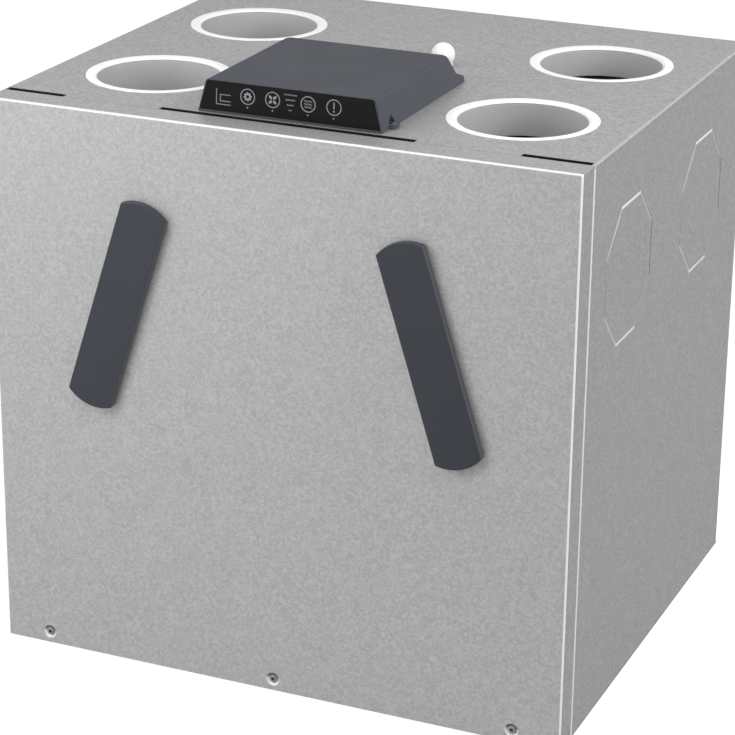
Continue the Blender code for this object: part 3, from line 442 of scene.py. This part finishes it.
def knockout_steel():
    """A knock-out: a painted highlight on its pressed rim, strongest along the top and the bottom."""
    finish = coated_steel("coated_steel_knockout")
    reach, strength, half = knockout_highlight_lines(finish)
    rim = finish.remap(reach, half - KNOCKOUT_HIGHLIGHT_WIDTH - LIP / 2, half - KNOCKOUT_HIGHLIGHT_WIDTH)
    finish.paint(finish.maths("MULTIPLY", rim, strength), EDGE_HIGHLIGHT_COLOUR)
    return finish.material


def moulded(name, colour, roughness, grain=900, bump=0.12, contrast=0.06, **values):
    """Moulded plastic with a fine spark-eroded texture and a slight unevenness of tone; gives its Finish."""
    finish = Finish(name, colour, roughness, **values)
    fine = finish.noise(grain)
    tone = finish.remap(finish.blend([(fine, 0.6), (finish.noise(18), 0.4)]), 0.3, 0.7)
    dark = [c * (1 - contrast) for c in colour]
    light = [min(1.0, c * (1 + contrast)) for c in colour]
    finish.vary(tone, dark, light)
    finish.set(finish.shader, {
        "Roughness": finish.remap(tone, 0.0, 1.0, roughness + 0.05, roughness - 0.05)})
    finish.bump(fine, bump, 0.0002)
    return finish


def slate(name):
    """The dark blue-grey plastic of the box and the filter covers, with hardly any gloss."""
    return moulded(name, SLATE_COLOUR, 0.5, grain=1400, bump=0.15, **{"Specular IOR Level": 0.05})


def lid_slate():
    """A filter cover: a painted highlight makes its side walls a little paler than its front."""
    finish = slate("slate_plastic_lid")
    sideways = finish.maths("ABSOLUTE", finish.along(finish.normal, "X"))
    finish.paint(finish.remap(sideways, 0.6, 0.9, 0.0, LID_SIDE), SLATE_PAINTED_LIGHT)
    return finish.material


def box_slate():
    """The control box: painted shade darkens its top, painted light makes its sides a little paler, and the
    wells of its screws more so.
    """
    finish = slate("slate_plastic_box")
    finish.paint(finish.remap(finish.along(finish.normal, "Z"), 0.90, 0.97, 0.0, PAINTED_SHADE_ON_BOX_TOP), BLACK)
    sideways = finish.maths("ABSOLUTE", finish.along(finish.normal, "X"))
    finish.paint(finish.remap(sideways, 0.6, 0.9, 0.0, BOX_SIDE), SLATE_PAINTED_LIGHT)
    low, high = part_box("control_box")
    across = finish.maths("SUBTRACT", finish.along(finish.position, "X"), (low.x + high.x) / 2)
    across = finish.maths("SUBTRACT", finish.maths("ABSOLUTE", across), (high.x - low.x) / 2 - LUG_REACH)
    along = finish.maths("SUBTRACT", finish.along(finish.position, "Y"), low.y + LUG_SETBACK)
    reach = finish.add("VectorMath", {0: finish.add("CombineXYZ", {0: across, 1: along}).outputs[0]},
                       operation="LENGTH").outputs["Value"]
    height = finish.maths("SUBTRACT", finish.along(finish.position, "Z"), low.z)
    reach = finish.blend([(reach, 1.0), (height, (WELL_RADIUS - WELL_TOP_RADIUS) / WELL_TOP)])
    # painted light in the wells, against their shade
    finish.paint(finish.remap(reach, WELL_RADIUS + LIP / 2, WELL_RADIUS + LIP / 3, 0.0, WELL), SLATE_PAINTED_LIGHT)
    return finish.material


def gloss_black():
    """The smooth front of the panel, with faint smears."""
    finish = Finish("black_gloss", (0.007, 0.007, 0.008), 0.22, **{"Specular IOR Level": 0.12})
    smear = finish.noise(40, 4.0, 0.6)
    finish.vary(smear, (0.005, 0.005, 0.006), (0.009, 0.009, 0.010))
    finish.set(finish.shader, {"Roughness": finish.remap(smear, 0.3, 0.7, 0.18, 0.28)})
    return finish.material


def bead_foam():
    """Moulded bead foam: rounded beads 3 to 4 mm across with dark joints."""
    finish = Finish("black_foam", (0.018, 0.018, 0.019), 0.85)
    bead = finish.cells(280)
    joint = finish.remap(bead, 0.1, 0.6)
    finish.vary(joint, (0.026, 0.026, 0.028), (0.011, 0.011, 0.012))
    finish.set(finish.shader, {"Roughness": finish.remap(joint, 0.0, 1.0, 0.75, 0.95)})
    finish.bump(finish.maths("SUBTRACT", 1.0, bead), 0.5, 0.0012)
    return finish.material


def filter_fleece():
    """Filter fleece: matted fibres, paler on their ridges."""
    finish = Finish("filter_board", (0.7, 0.68, 0.62), 0.9)
    fibre = finish.noise(700, 6.0, 0.75)
    finish.vary(finish.remap(fibre, 0.3, 0.7), (0.60, 0.58, 0.52), (0.78, 0.76, 0.70))
    finish.bump(fibre, 0.5, 0.0006)
    return finish.material


def zinc_plated(name, dark, light):
    """A plated screw with painted shade in its socket; the top of its head is at the local origin."""
    finish = Finish(name, light, 0.5, Metallic=0.3)
    scratch = finish.noise(900, 3.0, 0.6)
    finish.vary(scratch, dark, light)
    deep = finish.remap(finish.along(finish.position, "Z"), -0.0003, -0.0005)
    across = [(finish.maths("ABSOLUTE", finish.along(finish.position, axis)), 1.0) for axis in ("X", "Y")]
    inner = finish.remap(finish.blend(across), SCREW_SOCKET * 1.5, SCREW_SOCKET * 1.4)
    # painted shade at the floor of the socket
    finish.paint(finish.maths("MULTIPLY", deep, inner), [c / 4 for c in dark])
    finish.set(finish.shader, {"Roughness": finish.remap(scratch, 0.3, 0.7, 0.44, 0.60)})
    finish.bump(scratch, 0.1, 0.0001)
    return finish.material


def smooth_folds_group():
    """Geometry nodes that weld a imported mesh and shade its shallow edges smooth."""
    group = bpy.data.node_groups.new("smooth_folds", "GeometryNodeTree")
    group.interface.new_socket("Geometry", in_out="INPUT", socket_type="NodeSocketGeometry")
    group.interface.new_socket("Geometry", in_out="OUTPUT", socket_type="NodeSocketGeometry")
    add = group.nodes.new
    start, end = add("NodeGroupInput"), add("NodeGroupOutput")
    weld = add("GeometryNodeMergeByDistance")
    weld.inputs["Distance"].default_value = WELD_DISTANCE
    faces, edges = add("GeometryNodeSetShadeSmooth"), add("GeometryNodeSetShadeSmooth")
    edges.domain = "EDGE"
    edges.inputs["Shade Smooth"].default_value = False
    angle, steep = add("GeometryNodeInputMeshEdgeAngle"), add("FunctionNodeCompare")
    steep.operation = "GREATER_THAN"
    steep.inputs["B"].default_value = SMOOTH_ANGLE
    for out, into in (
        (start.outputs[0], weld.inputs["Geometry"]),
        (weld.outputs[0], faces.inputs["Geometry"]),
        (faces.outputs[0], edges.inputs["Geometry"]),
        (angle.outputs["Unsigned Angle"], steep.inputs["A"]),
        (steep.outputs[0], edges.inputs["Selection"]),
        (edges.outputs[0], end.inputs[0]),
    ):
        group.links.new(out, into)
    return group


def dress_node(name, material):
    """Gives a CAD node its finish and smooth folds."""
    piece = node[name]
    piece.data.materials.clear()
    piece.data.materials.append(material)
    piece.modifiers.new("smooth folds", "NODES").node_group = smooth_folds
    add_weighted_normals(piece)


def build_port(name):
    """The white ring and grey collar of one port, turned finely and with rounded lips."""
    low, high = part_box(f"{name}_ring")
    collar_low, collar_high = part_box(f"{name}_collar")
    place = ((low.x + high.x) / 2, (low.y + high.y) / 2, 0)
    outer = (high.x - low.x) / 2
    flange = (collar_high.x - collar_low.x) / 2
    inner = PORT_INNER_RADIUS
    ring = rounded([
        (outer, high.z), (outer, low.z), (inner, low.z),
        (inner, high.z - RING_CHAMFER_DROP), (outer - RING_FLAT, high.z),
    ], LIP, cyclic=True)
    add_piece(turned(f"{name}_lip", ring, cyclic=True), white_plastic, place=place,
              replaces=[f"{name}_ring"])
    wall = inner + COLLAR_WALL
    foot = collar_high.z - COLLAR_FLANGE_THICKNESS
    collar = rounded([
        (flange, collar_high.z), (flange, foot), (wall, foot), (wall, collar_low.z),
        (inner, collar_low.z), (inner, collar_high.z),
    ], LIP, cyclic=True)
    add_piece(turned(f"{name}_sleeve", collar, cyclic=True), grey_plastic, place=place,
              replaces=[f"{name}_collar"])


def stadium(width, length, bulge, steps=24):
    """Outline of a strip along Z whose ends are arcs that rise by the bulge."""
    radius = (width ** 2 / 4 + bulge ** 2) / (2 * bulge)
    half_angle = math.asin(width / 2 / radius)
    points = []
    for end in (1, -1):
        for i in range(steps + 1):
            angle = half_angle * (1 - 2 * i / steps)
            points.append((
                -end * radius * math.sin(angle),
                end * (length / 2 + bulge - radius + radius * math.cos(angle)),
            ))
    return points


def build_filter_cover(word, side):
    """The cover as a rim with a shadow line behind it and a rounded front edge."""
    low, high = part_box(f"filter_cover_{word}")
    loops = []

    def add_loop(y, inset):
        outline = stadium(COVER_WIDTH - 2 * inset, COVER_LENGTH - 2 * inset * 0.6, COVER_BULGE)
        loops.append([(x, y, z) for x, z in outline])

    thickness = high.y - low.y
    add_loop(thickness / 2, COVER_FOOT_INSET)
    add_loop(thickness / 2 - COVER_FOOT, COVER_FOOT_INSET)
    add_loop(thickness / 2 - COVER_FOOT, 0)
    for i in range(COVER_EDGE_STEPS + 1):
        angle = math.radians(90 * i / COVER_EDGE_STEPS)
        add_loop(-thickness / 2 + COVER_EDGE * (1 - math.sin(angle)), COVER_EDGE * (1 - math.cos(angle)))
    cover = add_piece(
        loft(f"filter_lid_{word}", loops), slate_plastic, f"filter_cover_{word}",
        (low + high) / 2, Matrix.Rotation(-side * FILTER_TILT, 4, "Y"),
        [f"filter_cover_{word}"])
    add_weighted_normals(cover)


def disc(x, z, radius):
    turns = [2 * math.pi * i / SMALL_STEPS for i in range(SMALL_STEPS)]
    return [(x + radius * math.cos(a), z + radius * math.sin(a)) for a in turns]


def hoop(x, z, radius):
    """A ring, as a disc and the hole in it."""
    return [disc(x, z, radius), disc(x, z, radius - SYMBOL_LINE)]


def bar(x0, z0, x1, z1):
    return [(x0, z0), (x1, z0), (x1, z1), (x0, z1)]


def printed(name, outlines):
    """Flat shapes in the local XZ plane, as thick as the print; a shape inside another is a hole."""
    curve = bpy.data.curves.new(name, "CURVE")
    curve.dimensions = "2D"
    curve.fill_mode = "BOTH"
    curve.extrude = SYMBOL_THICKNESS / 2
    for outline in outlines:
        spline = curve.splines.new("POLY")
        spline.points.add(len(outline) - 1)
        for point, (across, up) in zip(spline.points, outline):
            point.co = (across, up, 0, 1)
        spline.use_cyclic_u = True
    holder = bpy.data.objects.new(name, curve)
    bpy.context.scene.collection.objects.link(holder)
    graph = bpy.context.evaluated_depsgraph_get()
    mesh = bpy.data.meshes.new_from_object(holder.evaluated_get(graph))
    bpy.data.objects.remove(holder)
    bpy.data.curves.remove(curve)
    mesh.name = name
    mesh.transform(Matrix.Translation((0, -SYMBOL_THICKNESS / 2, 0)) @ Matrix.Rotation(math.pi / 2, 4, "X"))
    return mesh


def gear_outline(x, z):
    """Eight square teeth."""
    points = []
    for i in range(SMALL_STEPS):
        angle = 2 * math.pi * i / SMALL_STEPS
        radius = GEAR_TIP if i % 6 < 3 else GEAR_ROOT
        points.append((x + radius * math.cos(angle), z + radius * math.sin(angle)))
    return points


def fan_blade(x, z, turn):
    """An oval blade that points away from the middle of the fan."""
    points = []
    for i in range(20):
        angle = 2 * math.pi * i / 20
        along, across = BLADE_MIDDLE + BLADE_LENGTH * math.cos(angle), BLADE_WIDTH * math.sin(angle)
        points.append((
            x + along * math.cos(turn) - across * math.sin(turn),
            z + along * math.sin(turn) + across * math.cos(turn),
        ))
    return points


def wave(x, z):
    """A wavy line, three swells long."""
    upper, lower = [], []
    for i in range(WAVE_STEPS + 1):
        across = x - WAVE_LENGTH / 2 + WAVE_LENGTH * i / WAVE_STEPS
        rise = WAVE_RISE * math.sin(2 * math.pi * 3 * i / WAVE_STEPS)
        upper.append((across, z + rise + WAVE_LINE))
        lower.append((across, z + rise - WAVE_LINE))
    return upper + lower[::-1]


def level_marks():
    """Four rows of square dots, each shorter than the one above."""
    marks = []
    for row, (half, count) in enumerate(LEVEL_ROWS):
        z = SYMBOL_HEIGHT + LEVEL_TOP - LEVEL_STEP * row
        for i in range(count):
            x = LEVELS_X - half + 2 * half * (i + 0.5) / count
            marks.append(bar(x - LEVEL_DOT, z - LEVEL_DOT, x + LEVEL_DOT, z + LEVEL_DOT))
    return marks


def socket_outline():
    """Two nested brackets, open to the right."""
    line = SYMBOL_LINE * 0.8
    left, foot = SOCKET_LEFT, SOCKET_FOOT
    right, top = left + SOCKET_SIZE, foot + SOCKET_SIZE
    inner, low, high = left + SOCKET_INNER_LEFT, foot + SOCKET_INNER_FOOT, foot + SOCKET_INNER_TOP
    return [
        [(left, foot), (right, foot), (right, foot + line), (left + line, foot + line),
         (left + line, top), (left, top)],
        [(inner, low), (right, low), (right, low + line), (inner + line, low + line),
         (inner + line, high - line), (right, high - line), (right, high), (inner, high)],
    ]


def build_symbols():
    """Grey symbols printed on the panel: settings, fan, level marks, filter, alert and a socket."""
    low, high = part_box("control_box")
    lean = Matrix.Rotation(-math.atan2(BOX_FRONT_LEAN, high.z - low.z), 4, "X")
    up = SYMBOL_HEIGHT
    symbols = {
        "settings": [*hoop(GEAR_X, up, SYMBOL_RADIUS), gear_outline(GEAR_X, up),
                     disc(GEAR_X, up, GEAR_HOLE)],
        "fan": [*hoop(FAN_X, up, SYMBOL_RADIUS),
                *[fan_blade(FAN_X, up, math.radians(45 + 90 * i)) for i in range(4)]],
        "levels": level_marks(),
        "filter": [*hoop(FILTER_SYMBOL_X, up, SYMBOL_RADIUS),
                   *[wave(FILTER_SYMBOL_X, up + rise) for rise in (WAVE_GAP, 0, -WAVE_GAP)]],
        "alert": [*hoop(ALERT_X, up, SYMBOL_RADIUS),
                  bar(ALERT_X - ALERT_LINE, up + ALERT_FOOT, ALERT_X + ALERT_LINE, up + ALERT_TOP),
                  disc(ALERT_X, up - ALERT_DOT_DROP, ALERT_DOT)],
        "socket": socket_outline(),
    }
    for name, x in (("settings", GEAR_X), ("fan", FAN_X), ("filter", FILTER_SYMBOL_X), ("alert", ALERT_X)):
        symbols[name].append(disc(x, DOT_HEIGHT, DOT_RADIUS))
    for name, outlines in symbols.items():
        add_piece(printed(f"symbol_{name}", outlines), print_grey,
                  place=((low.x + high.x) / 2, low.y, low.z), turn=lean)


def build_cable_cap():
    """The ball of the cap, on its neck."""
    low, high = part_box("cable_entry_cap")
    radius = (high.x - low.x) / 2
    centre = high.z - radius
    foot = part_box("top_panel")[1].z + SEAM
    foot_angle = -math.degrees(math.acos(CAP_FOOT_RADIUS / radius))
    profile = [(CAP_NECK_RADIUS, low.z), (CAP_NECK_RADIUS, foot), (CAP_FOOT_RADIUS, foot)]
    for i in range(CAP_ARC_STEPS + 1):
        angle = math.radians(foot_angle + (90 - foot_angle) * i / CAP_ARC_STEPS)
        profile.append((max(radius * math.cos(angle), AXIS), centre + radius * math.sin(angle)))
    place = ((low.x + high.x) / 2, (low.y + high.y) / 2, 0)
    add_piece(turned("cable_ball", profile, steps=CAP_STEPS), white_plastic, place=place,
              replaces=["cable_entry_cap"])


def hexagon(corner):
    """Radius of a hexagon by the angle, from its middle to its sides."""
    return lambda angle: corner * math.cos(math.pi / 6) / math.cos(angle % (math.pi / 3) - math.pi / 6)


def screw_profile(radius, height, shank_end):
    """A pan-head screw with a hexagon socket, its head's top at 0."""
    socket = hexagon(SCREW_SOCKET * radius / SCREW_HEAD_RADIUS)
    return [
        (AXIS, -SCREW_SOCKET_DEPTH), (socket, -SCREW_SOCKET_DEPTH), (socket, 0.0), (radius * 0.66, 0.0),
        (radius * 0.85, -height * 0.15), (radius * 0.96, -height * 0.45), (radius, -height * 0.7),
        (radius, -height), (radius / 2, -height), (radius / 2, shank_end), (AXIS, shank_end),
    ]


def build_cover_screw(word):
    """A screw in a dimple of the front cover, its head forward."""
    low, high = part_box(f"cover_screw_{word}")
    profile = screw_profile((high.x - low.x) / 2, SCREW_HEAD_HEIGHT, low.y - high.y)
    add_piece(
        turned(f"screw_{word}", profile, steps=SMALL_STEPS), screw_steel,
        place=((low.x + high.x) / 2, low.y, (low.z + high.z) / 2),
        turn=Matrix.Rotation(math.pi / 2, 4, "X"), replaces=[f"cover_screw_{word}"])


def build_box_screw(word, side):
    """A small dark screw on the lug, in the hollow of the control box's side."""
    low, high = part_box("control_box")
    head_top = low.z + LUG_HEIGHT + BOX_SCREW_HEIGHT
    profile = screw_profile(BOX_SCREW_RADIUS, BOX_SCREW_HEIGHT, -BOX_SCREW_HEIGHT - LUG_HEIGHT / 2)
    add_piece(
        turned(f"box_screw_{word}", profile, steps=SMALL_STEPS), dark_screw,
        place=((high.x if side > 0 else low.x) - side * LUG_REACH, low.y + LUG_SETBACK, head_top))


def build_drain_cap():
    """The plug of the drain, with a hexagonal hollow to turn it by."""
    low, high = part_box("drain_cap")
    radius, height = (high.x - low.x) / 2, high.z - low.z
    grip = hexagon(radius / 2)
    profile = [
        (AXIS, height / 2), (grip, height / 2), (grip, LIP), (radius - LIP, 0),
        (radius, LIP), (radius, height), (AXIS, height),
    ]
    add_piece(turned("drain_plug", profile, steps=CAP_STEPS), grey_plastic,
              place=((low.x + high.x) / 2, (low.y + high.y) / 2, low.z),
              replaces=["drain_cap"])


def build_camera():
    camera = bpy.data.objects.new("camera", bpy.data.cameras.new("camera"))
    bpy.context.scene.collection.objects.link(camera)
    camera.data.lens = CAMERA_LENS
    camera.data.clip_start = 0.05
    camera.data.clip_end = 60
    camera.matrix_world = (
        Matrix.Translation(CAMERA_PLACE)
        @ Matrix.Rotation(math.radians(CAMERA_TURN), 4, "Z")
        @ Matrix.Rotation(math.radians(90 - CAMERA_DROP), 4, "X")
        @ Matrix.Rotation(math.radians(CAMERA_ROLL), 4, "Z")
    )
    bpy.context.scene.camera = camera


def build_lamps():
    target = (cad_box[0] + cad_box[1]) / 2
    for name, (place, edge, power) in LAMPS.items():
        lamp = bpy.data.lights.new(name, "AREA")
        lamp.size = edge
        lamp.energy = power
        holder = bpy.data.objects.new(name, lamp)
        bpy.context.scene.collection.objects.link(holder)
        holder.location = place
        holder.rotation_mode = "QUATERNION"
        holder.rotation_quaternion = (target - Vector(place)).to_track_quat("-Z", "Y")


def seen_directly(nodes, links):
    """1 for rays from the camera, a mirror or glass, and 0 for the light that falls on the object."""
    path = nodes.new("ShaderNodeLightPath")
    value = path.outputs["Is Camera Ray"]
    for name in ("Is Glossy Ray", "Is Transmission Ray"):
        most = nodes.new("ShaderNodeMath")
        most.operation = "MAXIMUM"
        links.new(value, most.inputs[0])
        links.new(path.outputs[name], most.inputs[1])
        value = most.outputs[0]
    return value


def build_world():
    world = bpy.data.worlds.new("studio")
    bpy.context.scene.world = world
    world.use_nodes = True
    nodes, links = world.node_tree.nodes, world.node_tree.links
    background = nodes["Background"]
    background.inputs["Color"].default_value = (1, 1, 1, 1)
    strength = nodes.new("ShaderNodeMapRange")
    strength.inputs["To Min"].default_value = ROOM_LIGHT
    links.new(seen_directly(nodes, links), strength.inputs["Value"])
    links.new(strength.outputs[0], background.inputs["Strength"])


def build_floor():
    """A pale floor that shows white but keeps the object's shadow."""
    mesh = turned("floor", [
        (FLOOR_MIDDLE, -FLOOR_DEPTH), (FLOOR_RADIUS, -FLOOR_DEPTH), (FLOOR_RADIUS, 0), (FLOOR_MIDDLE, 0)])
    floor = bpy.data.objects.new("floor", mesh)
    bpy.context.scene.collection.objects.link(floor)
    material = bpy.data.materials.new("floor")
    material.use_nodes = True
    nodes, links = material.node_tree.nodes, material.node_tree.links
    shader = nodes["Principled BSDF"]
    shader.inputs["Base Color"].default_value = FLOOR_COLOUR
    shader.inputs["Roughness"].default_value = 0.9
    shader.inputs["Specular IOR Level"].default_value = 0.0
    shader.inputs["Emission Color"].default_value = (1, 1, 1, 1)
    glow = nodes.new("ShaderNodeMath")
    glow.operation = "MULTIPLY"
    glow.inputs[1].default_value = FLOOR_GLOW
    links.new(seen_directly(nodes, links), glow.inputs[0])
    links.new(glow.outputs[0], shader.inputs["Emission Strength"])
    mesh.materials.append(material)


build_camera()
build_lamps()
build_world()
build_floor()

white_plastic = moulded("white_plastic", (0.95, 0.95, 0.945), 0.35, bump=0.04, contrast=0.01).material
grey_plastic = moulded("grey_plastic", (0.465, 0.465, 0.47), 0.45).material
slate_plastic = lid_slate()
black_foam = bead_foam()
screw_steel = zinc_plated("screw_steel", (0.24, 0.24, 0.245), (0.36, 0.36, 0.365))
dark_screw = zinc_plated("screw_steel_dark", (0.05, 0.05, 0.055), (0.09, 0.09, 0.095))
print_grey = moulded("print_grey", (0.28, 0.28, 0.29), 0.4, bump=0.02, contrast=0.04).material
smooth_folds = smooth_folds_group()

finish_of_slot = {
    "coated_steel": coated_steel("coated_steel").material,
    "white_plastic": white_plastic,
    "grey_plastic": grey_plastic,
    "slate_plastic": slate_plastic,
    "black_gloss": gloss_black(),
    "black_foam": black_foam,
    "filter_board": filter_fleece(),
    "screw_steel": screw_steel,
    "black_rubber": moulded("black_rubber", (0.03, 0.03, 0.03), 0.75, contrast=0.15).material,
}
finish_of_sheet = {
    "front_cover": cover_steel(), "top_panel": top_steel(), "side_panel": side_steel(),
    "knockout": knockout_steel(), "control_box": box_slate(),
}
for part in frame["record"]["subparts"]:
    sheet = next((s for s in finish_of_sheet if part["node"].startswith(s)), None)
    dress_node(part["node"], finish_of_sheet[sheet] if sheet else finish_of_slot[part["material_slot"]])

for port in ("duct_front_left", "duct_front_right", "duct_rear_left", "duct_rear_right"):
    build_port(port)
for side_name, side_sign in SIDES:
    build_filter_cover(side_name, side_sign)
    build_box_screw(side_name, side_sign)
build_symbols()
build_cable_cap()
for screw_name in ("left", "middle", "right"):
    build_cover_screw(screw_name)
build_drain_cap()

bpy.context.scene.view_settings.view_transform = "Standard"

bpy.context.view_layer.update()
